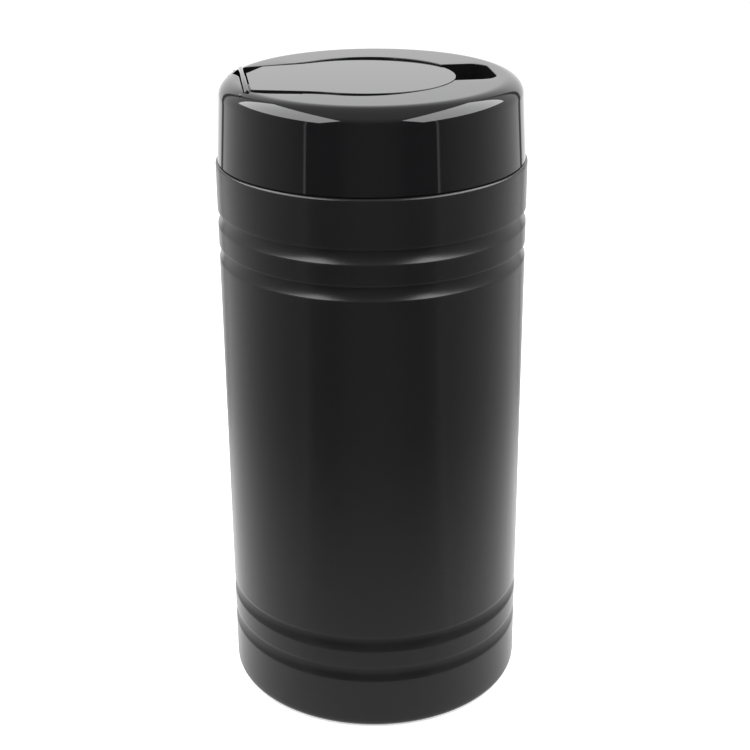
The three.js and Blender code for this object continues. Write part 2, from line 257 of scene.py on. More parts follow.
def add_lamp(name, size, spot, aim_height, power, mirrored=True):
    # The lamp's long side runs along the viewing axis, and its face tips in towards the canister
    data = bpy.data.lights.new(name, "AREA")
    data.shape = "RECTANGLE"
    data.size, data.size_y = size
    data.energy = power
    lamp = bpy.data.objects.new(name, data)
    bpy.context.collection.objects.link(lamp)
    aim = Vector((0, spot[1], aim_height))
    along = PICTURE_TURN @ Vector((0, 1, 0))
    away = (PICTURE_TURN @ (Vector(spot) - aim)).normalized()
    across = along.cross(away).normalized()
    lamp.location = PICTURE_TURN @ Vector(spot)
    lamp.rotation_euler = Matrix((across, along, away)).transposed().to_euler()
    lamp.visible_camera = False
    lamp.visible_glossy = mirrored


add_floor()
add_tent()
for side_name, side in (("left", -1), ("right", 1)):
    add_lamp(f"lamp_{side_name}", SIDE_LAMP_SIZE,
             (side * SIDE_LAMP_OUT, SIDE_LAMP_CENTRE, SIDE_LAMP_HEIGHT),
             SIDE_LAMP_AIM, SIDE_LAMP_POWER)
add_lamp("roof", ROOF_LAMP_SIZE, (0, ROOF_LAMP_CENTRE, ROOF_LAMP_HEIGHT),
         ROOF_LAMP_AIM, ROOF_LAMP_POWER, mirrored=False)


# Bottle
# Blow-moulded polyethylene with a fine matt grain, one piece from its foot to its neck.
# Four grooves stiffen the wall; the mould rounds the foot, and the shoulder a little.
mm = 0.001
bottle_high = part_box("canister_body")[1]
cap_low, cap_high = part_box("cap")
CAP_REST_GAP = 0.3 * mm
BOTTLE_RADIUS = bottle_high[0]
BOTTLE_WALL = 1.2 * mm
SHOULDER_Z = cap_low[2] - CAP_REST_GAP
SHOULDER_ROUND = 0.8 * mm
FOOT_ROUND = 3.5 * mm
FOOT_RING = 3.0 * mm
PUSH_UP = 4.0 * mm
PUSH_UP_SLOPE = 4.0 * mm
GROOVE_LIPS = [24.8 * mm, 37.0 * mm, 166.0 * mm, 178.1 * mm]
GROOVE_HEIGHT = 5.2 * mm
GROOVE_DEPTH = 1.15 * mm
GROOVE_LIP = 0.6 * mm
NECK_RADIUS = 48.2 * mm
NECK_WALL = 1.4 * mm
NECK_FILLET = 0.4 * mm
NECK_EDGE = 0.5 * mm
NECK_TOP = bottle_high[2]
BEAD_RISE = 11.2 * mm
BEAD_MIDDLE = SHOULDER_Z + BEAD_RISE
BEAD_HALF_HEIGHT = 1.65 * mm
BEAD_DEPTH = 0.8 * mm
BEAD_LEAD_IN = 0.3 * mm
BOTTLE_SEGMENTS = 256
WELD_DISTANCE = 0.001 * mm
PLASTIC_IOR = 1.5
GRAIN_DETAIL = 3
UNEVENNESS_SCALE = 34
UNEVENNESS_DETAIL = 2
BOTTLE_BLACK = (0.007, 0.007, 0.0075)
BOTTLE_ROUGHNESS = (0.22, 0.29)
BOTTLE_GRAIN = 2600
BOTTLE_GRAIN_DEPTH = 0.004 * mm


def arc(centre, radii, start, end, steps):
    points = []
    for i in range(steps + 1):
        angle = math.radians(start + (end - start) * i / steps)
        points.append((centre[0] + radii[0] * math.cos(angle), centre[1] + radii[1] * math.sin(angle)))
    return points


def wall_with_grooves(radius, low, high, slope_steps, lip_steps):
    # Points up a straight wall: each groove is a scoop, steepest at its foot, under a small crisp lip
    def depth_at(z):
        for lip in GROOVE_LIPS:
            bottom = lip - GROOVE_LIP
            foot = lip - GROOVE_HEIGHT
            if foot <= z <= bottom:
                return GROOVE_DEPTH * (1 - ((bottom - z) / (bottom - foot)) ** 2)
            if bottom < z < lip:
                rise = (z - bottom) / GROOVE_LIP
                return GROOVE_DEPTH * (1 - rise ** 2 * (3 - 2 * rise))
        return 0.0

    heights = {low, high}
    for lip in GROOVE_LIPS:
        foot, bottom = lip - GROOVE_HEIGHT, lip - GROOVE_LIP
        heights.update(foot + (bottom - foot) * i / slope_steps for i in range(slope_steps + 1))
        heights.update(bottom + GROOVE_LIP * i / lip_steps for i in range(1, lip_steps + 1))
        heights.update((foot - GROOVE_LIP, lip + GROOVE_LIP))
    return [(radius - depth_at(z), z) for z in sorted(heights)]


def bottle_profile():
    foot = BOTTLE_RADIUS - FOOT_ROUND
    ring_inner = foot - FOOT_RING
    inner_round = FOOT_ROUND - BOTTLE_WALL
    wall_foot = 2 * FOOT_ROUND
    mouth = NECK_RADIUS - NECK_WALL
    outer = [(0, PUSH_UP), (ring_inner - PUSH_UP_SLOPE, PUSH_UP), (ring_inner, 0)]
    outer += arc((foot, FOOT_ROUND), (FOOT_ROUND, FOOT_ROUND), -90, 0, steps=8)
    outer += wall_with_grooves(
        BOTTLE_RADIUS, wall_foot, SHOULDER_Z - 2 * SHOULDER_ROUND, slope_steps=20, lip_steps=8)
    outer += arc((BOTTLE_RADIUS - SHOULDER_ROUND, SHOULDER_Z - SHOULDER_ROUND),
                 (SHOULDER_ROUND, SHOULDER_ROUND), 0, 90, steps=6)
    neck = [
        (NECK_RADIUS + NECK_FILLET, SHOULDER_Z), (NECK_RADIUS, SHOULDER_Z + NECK_FILLET),
        (NECK_RADIUS, BEAD_MIDDLE - BEAD_HALF_HEIGHT - BEAD_LEAD_IN)]
    neck += arc((NECK_RADIUS, BEAD_MIDDLE), (BEAD_DEPTH, BEAD_HALF_HEIGHT), -90, 90, steps=8)
    neck += [(NECK_RADIUS, NECK_TOP - NECK_EDGE), (NECK_RADIUS - NECK_EDGE, NECK_TOP)]
    neck += [(mouth + NECK_EDGE, NECK_TOP), (mouth, NECK_TOP - NECK_EDGE)]
    inner_wall = wall_with_grooves(
        BOTTLE_RADIUS - BOTTLE_WALL, wall_foot, SHOULDER_Z - BOTTLE_WALL, slope_steps=6, lip_steps=3)
    inner = [(mouth, SHOULDER_Z - BOTTLE_WALL)] + inner_wall[::-1]
    inner += arc((foot, FOOT_ROUND), (inner_round, inner_round), 0, -90, steps=5)
    inner += [(ring_inner, BOTTLE_WALL), (ring_inner - PUSH_UP_SLOPE, PUSH_UP + BOTTLE_WALL)]
    inner += [(0, PUSH_UP + BOTTLE_WALL)]
    return outer + neck + inner


def turning_tree():
    # Sweeps a profile round a circle, as a turned mould cavity is cut, and closes the two poles
    tree = bpy.data.node_groups.new("turned profile", "GeometryNodeTree")
    interface = tree.interface
    interface.new_socket("Profile", in_out="INPUT", socket_type="NodeSocketGeometry")
    interface.new_socket("Circle Radius", in_out="INPUT", socket_type="NodeSocketFloat")
    interface.new_socket("Segments", in_out="INPUT", socket_type="NodeSocketInt")
    interface.new_socket("Material", in_out="INPUT", socket_type="NodeSocketMaterial")
    interface.new_socket("Shell", in_out="OUTPUT", socket_type="NodeSocketGeometry")
    inputs = node(tree, "NodeGroupInput")
    outputs = node(tree, "NodeGroupOutput")
    circle = node(tree, "GeometryNodeCurvePrimitiveCircle")
    upright = node(tree, "GeometryNodeSetCurveNormal", mode="Z_UP")
    line = node(tree, "GeometryNodeMeshToCurve")
    sweep = node(tree, "GeometryNodeCurveToMesh")
    weld = node(tree, "GeometryNodeMergeByDistance")
    weld.inputs["Distance"].default_value = WELD_DISTANCE
    real = node(tree, "GeometryNodeRealizeInstances")
    paint = node(tree, "GeometryNodeSetMaterial")
    join = tree.links.new
    join(inputs.outputs["Circle Radius"], circle.inputs["Radius"])
    join(inputs.outputs["Segments"], circle.inputs["Resolution"])
    join(circle.outputs["Curve"], upright.inputs["Curve"])
    join(upright.outputs["Curve"], sweep.inputs["Curve"])
    join(inputs.outputs["Profile"], line.inputs["Mesh"])
    join(line.outputs["Curve"], sweep.inputs["Profile Curve"])
    join(sweep.outputs["Mesh"], weld.inputs["Geometry"])
    join(weld.outputs["Geometry"], real.inputs["Geometry"])
    join(real.outputs["Geometry"], paint.inputs["Geometry"])
    join(inputs.outputs["Material"], paint.inputs["Material"])
    join(paint.outputs["Geometry"], outputs.inputs["Shell"])
    return tree


TURNING = turning_tree()


def set_inputs(modifier, values):
    for item in modifier.node_group.interface.items_tree:
        if item.item_type == "SOCKET" and item.in_out == "INPUT" and item.name in values:
            modifier[item.identifier] = values[item.name]


def new_piece(name, mesh):
    piece = bpy.data.objects.new(name, mesh)
    bpy.context.collection.objects.link(piece)
    return piece


def bake(piece):
    # Turns the piece's modifiers into plain mesh
    graph = bpy.context.evaluated_depsgraph_get()
    mesh = bpy.data.meshes.new_from_object(
        piece.evaluated_get(graph), preserve_all_data_layers=True, depsgraph=graph)
    piece.modifiers.clear()
    piece.data = mesh
    mesh.name = piece.name


def face_outwards(mesh, sharp_angle):
    work = bmesh.new()
    work.from_mesh(mesh)
    bmesh.ops.remove_doubles(work, verts=work.verts, dist=WELD_DISTANCE)
    bmesh.ops.recalc_face_normals(work, faces=work.faces)
    work.to_mesh(mesh)
    work.free()
    mesh.shade_smooth()
    mesh.set_sharp_from_angle(angle=math.radians(sharp_angle))


def turned(name, profile, segments, material, closed=False, sharp_angle=35):
    reach = max(radius for radius, height in profile)
    points = [(radius - reach, -height, 0) for radius, height in profile]
    count = len(points)
    edges = [(i, i + 1) for i in range(count - 1)]
    if closed:
        edges.append((count - 1, 0))
    # An edge that lies on the axis sweeps no face
    edges = [(a, b) for a, b in edges if profile[a][0] + profile[b][0] > 0]
    mesh = bpy.data.meshes.new(name)
    mesh.from_pydata(points, edges, [])
    piece = new_piece(name, mesh)
    modifier = piece.modifiers.new("turned", "NODES")
    modifier.node_group = TURNING
    set_inputs(modifier, {"Circle Radius": reach, "Segments": segments, "Material": material})
    bake(piece)
    face_outwards(piece.data, sharp_angle)
    return piece


def grain_group():
    # Fine mould grain with broad unevenness, shared by all the moulded plastics
    group = bpy.data.node_groups.new("mould grain", "ShaderNodeTree")
    group.interface.new_socket("Grain Size", in_out="INPUT", socket_type="NodeSocketFloat")
    group.interface.new_socket("Roughness Low", in_out="INPUT", socket_type="NodeSocketFloat")
    group.interface.new_socket("Roughness High", in_out="INPUT", socket_type="NodeSocketFloat")
    group.interface.new_socket("Roughness", in_out="OUTPUT", socket_type="NodeSocketFloat")
    group.interface.new_socket("Grain", in_out="OUTPUT", socket_type="NodeSocketFloat")
    inputs = node(group, "NodeGroupInput")
    outputs = node(group, "NodeGroupOutput")
    place = node(group, "ShaderNodeTexCoord")
    fine = node(group, "ShaderNodeTexNoise")
    fine.inputs["Detail"].default_value = GRAIN_DETAIL
    broad = node(group, "ShaderNodeTexNoise")
    broad.inputs["Scale"].default_value = UNEVENNESS_SCALE
    broad.inputs["Detail"].default_value = UNEVENNESS_DETAIL
    spread = node(group, "ShaderNodeMapRange")
    join = group.links.new
    join(place.outputs["Object"], fine.inputs["Vector"])
    join(place.outputs["Object"], broad.inputs["Vector"])
    join(inputs.outputs["Grain Size"], fine.inputs["Scale"])
    join(broad.outputs["Fac"], spread.inputs["Value"])
    join(inputs.outputs["Roughness Low"], spread.inputs["To Min"])
    join(inputs.outputs["Roughness High"], spread.inputs["To Max"])
    join(spread.outputs["Result"], outputs.inputs["Roughness"])
    join(fine.outputs["Fac"], outputs.inputs["Grain"])
    return group


MOULD_GRAIN = grain_group()


def moulded_plastic(name, colour, roughness, grain_scale, grain_depth):
    material = bpy.data.materials.new(name)
    material.use_nodes = True
    tree = material.node_tree
    shader = tree.nodes["Principled BSDF"]
    shader.inputs["Base Color"].default_value = (*colour, 1)
    shader.inputs["IOR"].default_value = PLASTIC_IOR
    grain = node(tree, "ShaderNodeGroup", node_tree=MOULD_GRAIN)
    grain.inputs["Grain Size"].default_value = grain_scale
    grain.inputs["Roughness Low"].default_value = roughness[0]
    grain.inputs["Roughness High"].default_value = roughness[1]
    bump = node(tree, "ShaderNodeBump")
    bump.inputs["Strength"].default_value = 1.0
    bump.inputs["Distance"].default_value = grain_depth
    tree.links.new(grain.outputs["Roughness"], shader.inputs["Roughness"])
    tree.links.new(grain.outputs["Grain"], bump.inputs["Height"])
    tree.links.new(bump.outputs["Normal"], shader.inputs["Normal"])
    return material


BOTTLE_PLASTIC = moulded_plastic(
    "bottle plastic", BOTTLE_BLACK, BOTTLE_ROUGHNESS, BOTTLE_GRAIN, BOTTLE_GRAIN_DEPTH)
bottle = turned("bottle", bottle_profile(), BOTTLE_SEGMENTS, BOTTLE_PLASTIC)
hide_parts("canister_body")
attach(bottle, "canister")


# Cap
# Gloss polypropylene, injection-moulded in one piece: skirt with a little draft, a large round to
# the flat deck, and sunk into it the lid recess, finger notch, relief pocket and well.
CAP_FOOT = cap_low[2]
CAP_FOOT_RADIUS = cap_high[0]
CAP_FOOT_EDGE = 0.25 * mm
CAP_FOOT_BEVEL = 0.075 * mm
CAP_RISE = 27.3 * mm
CAP_TOP = SHOULDER_Z + CAP_RISE
CAP_DRAFT = 1.2 * mm
CAP_WALL = 1.6 * mm
CAP_DECK = 1.8 * mm
CAP_EDGE = (6.3 * mm, 5.7 * mm)
CAP_FLAT_RADIUS = CAP_FOOT_RADIUS - CAP_DRAFT - CAP_EDGE[0]
CAP_FLAT_MARGIN = 0.6 * mm
RIB_RISE = 4.0 * mm
RIB_FOOT = CAP_FOOT + RIB_RISE
RIB_HEIGHT = 3.0 * mm
SNAP_GAP = 0.35 * mm
PLUG_RADIUS = NECK_RADIUS - NECK_WALL - SNAP_GAP
PLUG_WALL = 1.2 * mm
PLUG_REACH = 4.3 * mm
PLUG_FOOT = NECK_TOP - PLUG_REACH
PLUG_EDGE = 0.1 * mm
POCKET_WALL = 1.3 * mm
RIM_ROUND = 0.25 * mm
RIM_FLARE = 0.255 * mm
CUTTER_RISE = 1.5 * mm
# The recess, the wall round it and the lid itself follow one outline: round at the front, then
# drawn in to a straight tail at the hinge strap
LID_RADIUS = 29.55 * mm
LID_CENTRE = -1.5 * mm
LID_TAIL_HALF = 18.55 * mm
LID_TAPER = math.radians(14)
LID_ARC_END = 118
LID_BLEND = 4.3 * mm
LID_BLEND_STEPS = 8
STRAP_X = -42.0 * mm
STRAP_WIDTH = 1.9 * mm
STRAP_GAP = 0.3 * mm
LID_TAIL_X = STRAP_X + STRAP_WIDTH / 2 + STRAP_GAP
STRAP_BACK_X = STRAP_X - STRAP_WIDTH / 2 - STRAP_GAP
RUNNING_GAP = 0.45 * mm
FAR_CUT = (9.5 * mm, 6.0 * mm)
NEAR_CUT = (0.8 * mm, 0.8 * mm)
RECESS_DEPTH = 2.9 * mm
RELIEF_DEPTH = 4.0 * mm
RELIEF_RADIUS = 46.6 * mm
RELIEF_RIM_Y = 11.0 * mm
RELIEF_TAB_Y = 4.5 * mm
NOTCH_HALF = 12.5 * mm
NOTCH_START = 24.0 * mm
NOTCH_END = 40.8 * mm
NOTCH_ROUND = 6.0 * mm
NOTCH_DEPTH = 6.0 * mm
WELL_RADIUS = 22.0 * mm
WELL_DEPTH = 9.0 * mm
WELL_FLOOR = CAP_TOP - WELL_DEPTH
COLLAR_RADIUS = 12.8 * mm
COLLAR_WALL = 1.3 * mm
COLLAR_HEIGHT = 4.4 * mm
COLLAR_EDGE = 0.3 * mm
COLLAR_SEGMENTS = 128
HOLE_RADIUS = 6.5 * mm
HOLE_CUTTER_SPARE = 1.0 * mm
SLITS = 6
SLIT_REACH = 9.2 * mm
SLIT_WIDTH = 1.0 * mm
CAP_SEGMENTS = 256
GLOSS_BLACK = (0.0055, 0.0055, 0.006)
GLOSS_ROUGHNESS = (0.03, 0.055)
GLOSS_GRAIN = 900
GLOSS_GRAIN_DEPTH = 0.0006 * mm
CAP_PLASTIC = moulded_plastic(
    "cap plastic", GLOSS_BLACK, GLOSS_ROUGHNESS, GLOSS_GRAIN, GLOSS_GRAIN_DEPTH)


def tail_half(x, growth):
    return LID_TAIL_HALF + growth / math.cos(LID_TAPER) + math.tan(LID_TAPER) * (x - LID_TAIL_X)


def far_flank(growth):
    # From the round front's end along the blend to where the straight tail begins
    radius = LID_RADIUS + growth
    end = math.radians(LID_ARC_END)
    start = Vector((LID_CENTRE + radius * math.cos(end), radius * math.sin(end)))
    slope = -math.cos(end) / math.sin(end)
    knee_x = (start.y - slope * start.x - tail_half(0, growth)) / (math.tan(LID_TAPER) - slope)
    knee = Vector((knee_x, tail_half(knee_x, growth)))
    finish = Vector((knee_x - LID_BLEND, tail_half(knee_x - LID_BLEND, growth)))
    points = []
    for i in range(1, LID_BLEND_STEPS + 1):
        t = i / LID_BLEND_STEPS
        points.append(start * (1 - t) ** 2 + knee * 2 * t * (1 - t) + finish * t ** 2)
    return [(p.x, p.y) for p in points]


def lid_outline(growth, tail_x, far_cut=(0, 0), near_cut=(0, 0)):
    radius = LID_RADIUS + growth
    points = arc((LID_CENTRE, 0), (radius, radius), -LID_ARC_END, LID_ARC_END, steps=96)
    flank = far_flank(growth)
    points += flank
    if far_cut[1] > 0:
        points.append((tail_x + far_cut[1], tail_half(tail_x + far_cut[1], growth)))
    points.append((tail_x, tail_half(tail_x, growth) - far_cut[0]))
    points.append((tail_x, -tail_half(tail_x, growth) + near_cut[0]))
    if near_cut[1] > 0:
        points.append((tail_x + near_cut[1], -tail_half(tail_x + near_cut[1], growth)))
    points += [(x, -y) for x, y in reversed(flank)]
    return points


def recess_outline(growth):
    return lid_outline(RUNNING_GAP + growth, STRAP_BACK_X - growth)


def notch_outline(growth):
    half = NOTCH_HALF + growth
    start = NOTCH_START - growth
    corner = NOTCH_ROUND + growth
    centre_x = NOTCH_END + growth - corner
    points = [(start, -half)]
    points += arc((centre_x, -half + corner), (corner, corner), -90, 0, steps=12)
    points += arc((centre_x, half - corner), (corner, corner), 0, 90, steps=12)
    points.append((start, half))
    return points


def relief_outline(growth):
    outer = RELIEF_RADIUS + growth
    pocket_growth = RUNNING_GAP + growth
    front_x = LID_TAIL_X + FAR_CUT[1] + growth
    half = tail_half(STRAP_X, pocket_growth)
    start = math.degrees(math.atan2(half, -math.sqrt(outer ** 2 - half ** 2)))
    end = 180 - math.degrees(math.asin((RELIEF_RIM_Y - growth) / outer))
    points = [
        (STRAP_BACK_X - growth, RELIEF_TAB_Y - growth),
        (LID_TAIL_X, tail_half(LID_TAIL_X, pocket_growth) - FAR_CUT[0] - 2 * growth),
        (front_x, tail_half(front_x, pocket_growth))]
    return points + arc((0, 0), (outer, outer), start, end, steps=8)


def full_circle(radius, count):
    return arc((0, 0), (radius, radius), 0, 360 - 360 / count, steps=count - 1)


def well_outline(growth):
    return full_circle(WELL_RADIUS + growth, count=96)


def stacked(name, levels):
    # A closed solid through matching outlines, each at its own height, from the lowest up
    count = len(levels[0][0])
    vertices = [(x, y, z) for outline, z in levels for x, y in outline]
    faces = [list(range(count))[::-1]]
    for level in range(len(levels) - 1):
        low, high = level * count, (level + 1) * count
        for i in range(count):
            j = (i + 1) % count
            faces.append((low + i, low + j, high + j, high + i))
    last = (len(levels) - 1) * count
    faces.append(list(range(last, last + count)))
    mesh = bpy.data.meshes.new(name)
    mesh.from_pydata(vertices, [], faces)
    return new_piece(name, mesh)


def pocket_cutter(name, outline, depth, over_round):
    # The pocket's space, with its floor edge and its rim rounded as the mould tool is; a pocket
    # that runs out over the cap's round edge has a plain rim
    foot = CAP_TOP - depth
    levels = [(outline(-RIM_ROUND), foot), (outline(0), foot + RIM_ROUND)]
    if not over_round:
        for angle in (0, 30, 60, 90):
            flare = RIM_ROUND * (1 - math.cos(math.radians(angle)))
            rise = RIM_ROUND * math.sin(math.radians(angle))
            levels.append((outline(flare), CAP_TOP - RIM_ROUND + rise))
    levels.append((outline(0 if over_round else RIM_FLARE), CAP_TOP + CUTTER_RISE))
    return stacked(name, levels)


def combine(piece, tools, operation):
    for tool in tools:
        modifier = piece.modifiers.new(operation.lower(), "BOOLEAN")
        modifier.operation = operation
        modifier.solver = "MANIFOLD"
        modifier.object = tool
    bake(piece)
    for tool in tools:
        bpy.data.objects.remove(tool)


def cap_profile():
    centre = (CAP_FLAT_RADIUS, CAP_TOP - CAP_EDGE[1])
    taper = CAP_DRAFT / (centre[1] - CAP_FOOT)
    rib = NECK_RADIUS + BEAD_DEPTH + SNAP_GAP
    rib_top = RIB_FOOT + RIB_HEIGHT

    def inside(z):
        return CAP_FOOT_RADIUS - CAP_WALL - taper * (z - CAP_FOOT)

    points = [(inside(CAP_FOOT), CAP_FOOT), (CAP_FOOT_RADIUS - CAP_FOOT_EDGE, CAP_FOOT)]
    points += [(CAP_FOOT_RADIUS - CAP_FOOT_BEVEL, CAP_FOOT + CAP_FOOT_BEVEL)]
    points += [(CAP_FOOT_RADIUS - taper * CAP_FOOT_EDGE, CAP_FOOT + CAP_FOOT_EDGE)]
    points += arc(centre, CAP_EDGE, 0, 90, steps=24)
    points += [(CAP_FLAT_RADIUS - CAP_FLAT_MARGIN, CAP_TOP), (0, CAP_TOP), (0, CAP_TOP - CAP_DECK)]
    points += arc(centre, (CAP_EDGE[0] - CAP_WALL, CAP_EDGE[1] - CAP_DECK), 90, 0, steps=10)
    points += [(inside(rib_top), rib_top), (rib, RIB_FOOT + RIB_HEIGHT * 2 / 3)]
    points += [(rib, RIB_FOOT + RIB_HEIGHT / 3), (inside(RIB_FOOT), RIB_FOOT)]
    return points


def ring_profile(inner, outer, low, high, edge):
    return [
        (inner, low), (outer, low), (outer, high - edge), (outer - edge, high),
        (inner + edge, high), (inner, high - edge)]


def slit_hole_cutters():
    low = WELL_FLOOR - POCKET_WALL - HOLE_CUTTER_SPARE
    high = WELL_FLOOR + HOLE_CUTTER_SPARE
    outline = full_circle(HOLE_RADIUS, count=72)
    cutters = [stacked("hole cutter", [(outline, low), (outline, high)])]
    for i in range(SLITS):
        turn = Matrix.Rotation(2 * math.pi * i / SLITS, 2)
        corners = [(0, -SLIT_WIDTH / 2), (SLIT_REACH, -SLIT_WIDTH / 2),
                   (SLIT_REACH, SLIT_WIDTH / 2), (0, SLIT_WIDTH / 2)]
        corners = [tuple(turn @ Vector(corner)) for corner in corners]
        cutters.append(stacked(f"slit cutter {i}", [(corners, low), (corners, high)]))
    return cutters


def finish_gloss(piece, material):
    # Flat faces stay flat to the light right up to their rounded edges
    face_outwards(piece.data, sharp_angle=32)
    modifier = piece.modifiers.new("weighted", "WEIGHTED_NORMAL")
    modifier.keep_sharp = True
    modifier.weight = 100
    bake(piece)
    piece.data.materials.clear()
    piece.data.materials.append(material)


def make_cap():
    pockets = [
        ("recess", recess_outline, RECESS_DEPTH, False),
        ("notch", notch_outline, NOTCH_DEPTH, False),
        ("relief", relief_outline, RELIEF_DEPTH, True),
        ("well", well_outline, WELL_DEPTH, False),
    ]
    piece = turned("cap_shell", cap_profile(), CAP_SEGMENTS, CAP_PLASTIC, closed=True)
    inside_deck = CAP_TOP - CAP_DECK / 2
    plug = turned("plug", ring_profile(
        PLUG_RADIUS - PLUG_WALL, PLUG_RADIUS, PLUG_FOOT, inside_deck, PLUG_EDGE),
        CAP_SEGMENTS, CAP_PLASTIC, closed=True)
    walls = [
        stacked(name + " wall", [
            (outline(POCKET_WALL), CAP_TOP - depth - POCKET_WALL), (outline(POCKET_WALL), inside_deck)])
        for name, outline, depth, over_round in pockets]
    combine(piece, [plug] + walls, "UNION")
    combine(piece, [pocket_cutter(*pocket) for pocket in pockets], "DIFFERENCE")
    collar = turned("collar", ring_profile(
        COLLAR_RADIUS - COLLAR_WALL, COLLAR_RADIUS, WELL_FLOOR - POCKET_WALL / 2,
        WELL_FLOOR + COLLAR_HEIGHT, COLLAR_EDGE), COLLAR_SEGMENTS, CAP_PLASTIC, closed=True)
    combine(piece, [collar], "UNION")
    combine(piece, slit_hole_cutters(), "DIFFERENCE")
    finish_gloss(piece, CAP_PLASTIC)
    return piece


cap = make_cap()
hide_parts("cap")
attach(cap, "cap")


# Hinge strap
# The rounded strap across the back of the lid's recess, moulded in one with the cap.
# The lid turns about a line just over its crown; the thin web that joins them isn't seen.
STRAP_LENGTH = 2 * (LID_TAIL_HALF + RUNNING_GAP)
STRAP_PROUD = 0.5 * mm
STRAP_ROOT = 0.2 * mm
STRAP_FOOT = CAP_TOP - RECESS_DEPTH - STRAP_ROOT
# Places along the half length, and the section's size there: it shrinks at the rounded ends
STRAP_STATIONS = [
    (-1, 0.72), (-0.992, 0.9), (-0.975, 1.0), (0, 1.0), (0.975, 1.0), (0.992, 0.9), (1, 0.72)]
STRAP_END_DROP = 0.15


def make_strap():
    radius = STRAP_WIDTH / 2
    crown = CAP_TOP + STRAP_PROUD - radius
    section = [(-radius, STRAP_FOOT), (radius, STRAP_FOOT)]
    section += arc((0, crown), (radius, radius), 0, 180, steps=16)
    vertices = []
    for place, size in STRAP_STATIONS:
        height = 1 - STRAP_END_DROP * (1 - size)
        for x, z in section:
            lowered = STRAP_FOOT + (z - STRAP_FOOT) * height
            vertices.append((STRAP_X + x * size, place * STRAP_LENGTH / 2, lowered))
    count = len(section)
    faces = [list(range(count)), list(range(len(vertices) - count, len(vertices)))[::-1]]
    for row in range(len(STRAP_STATIONS) - 1):
        for i in range(count):
            j = (i + 1) % count
            a, b = row * count, (row + 1) * count
            faces.append((a + i, b + i, b + j, a + j))
    mesh = bpy.data.meshes.new("hinge_strap")
    mesh.from_pydata(vertices, [], faces)
    mesh.materials.append(CAP_PLASTIC)
    face_outwards(mesh, sharp_angle=50)
    return new_piece("hinge_strap", mesh)


strap = make_strap()
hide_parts("cap")
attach(strap, "cap")


# Flip lid
# The same gloss polypropylene: a flat plate with softened edges, and under it the ring that plugs
# the collar. It lies a hair out of true, its near edge proud and its far front edge sunk.
LID_THICKNESS = 1.8 * mm
LID_EDGE = 0.2 * mm
LID_ROLL = math.radians(-0.9)
LID_PITCH = math.radians(0.49)
LID_TILT_X = -12.0 * mm
SEAL_GAP = 0.7 * mm
SEAL_WALL = 1.2 * mm
SEAL_DEPTH = 1.8 * mm
SEAL_LEAD_IN = (0.4 * mm, 0.6 * mm)
LID_PLASTIC = moulded_plastic(
    "lid plastic", GLOSS_BLACK, GLOSS_ROUGHNESS, GLOSS_GRAIN, GLOSS_GRAIN_DEPTH)


def make_lid():
    low, high = CAP_TOP - LID_THICKNESS, CAP_TOP

    def outline(inset):
        return lid_outline(-inset, LID_TAIL_X + inset, FAR_CUT, NEAR_CUT)

    levels = []
    for angle in (0, 45, 90):
        turn = math.radians(angle)
        levels.append((outline(LID_EDGE * (1 - math.sin(turn))), low + LID_EDGE * (1 - math.cos(turn))))
    for angle in (0, 30, 60, 90):
        turn = math.radians(angle)
        levels.append((outline(LID_EDGE * (1 - math.cos(turn))), high - LID_EDGE * (1 - math.sin(turn))))
    piece = stacked("lid", levels)
    seal_radius = COLLAR_RADIUS - COLLAR_WALL - SEAL_GAP
    seal_foot = WELL_FLOOR + COLLAR_HEIGHT - SEAL_DEPTH
    inside_plate = high - LID_THICKNESS / 2
    seal = turned("seal ring", [
        (seal_radius - SEAL_WALL, inside_plate), (seal_radius - SEAL_WALL, seal_foot),
        (seal_radius - SEAL_LEAD_IN[0], seal_foot), (seal_radius, seal_foot + SEAL_LEAD_IN[1]),
        (seal_radius, inside_plate)], COLLAR_SEGMENTS, LID_PLASTIC, closed=True)
    combine(piece, [seal], "UNION")
    finish_gloss(piece, LID_PLASTIC)
    pivot = Matrix.Translation((LID_TILT_X, 0, CAP_TOP))
    tilt = Matrix.Rotation(LID_ROLL, 4, "X") @ Matrix.Rotation(LID_PITCH, 4, "Y")
    piece.data.transform(pivot @ tilt @ pivot.inverted())
    return piece


lid = make_lid()
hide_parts("flip_lid")
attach(lid, "lid")


# Roll of wipes
# Moist nonwoven cloth, wound without a core and pulled from the middle. The turns show as fine
# steps on the two ends, and the inner end is drawn up as a twisted lead through the cap's hole.
ROLL_RADIUS = 45.5 * mm
ROLL_CORE = 12.0 * mm
ROLL_GAP = 0.3 * mm
ROLL_HEIGHT = 170.0 * mm
ROLL_LOW = PUSH_UP + BOTTLE_WALL + ROLL_GAP
ROLL_HIGH = ROLL_LOW + ROLL_HEIGHT
ROLL_EDGE = 1.5 * mm
ROLL_SEGMENTS = 128
ROLL_TURN = 0.9 * mm
TURN_FILL = 0.98
TURN_STEP = 0.35 * mm
TURN_SINK = 0.14 * mm
TURN_DRIFT = 2.4
# Places across one turn, and how much of the step its edge drops there
TURN_SHAPE = [(0.0, 1.0), (0.2, 0.0), (0.8, 0.0), (1.0, 1.0)]
CLOTH_WHITE = (0.84, 0.85, 0.84, 1)
CLOTH_SHADE = (0.66, 0.68, 0.67, 1)
CLOTH_ROUGHNESS = 0.8
CLOTH_SHEEN = 0.2
CLOTH_RELIEF = 0.12 * mm
FIBRE_SCALE = 1400
FIBRE_DETAIL = 6
EMBOSS_SCALE = 420


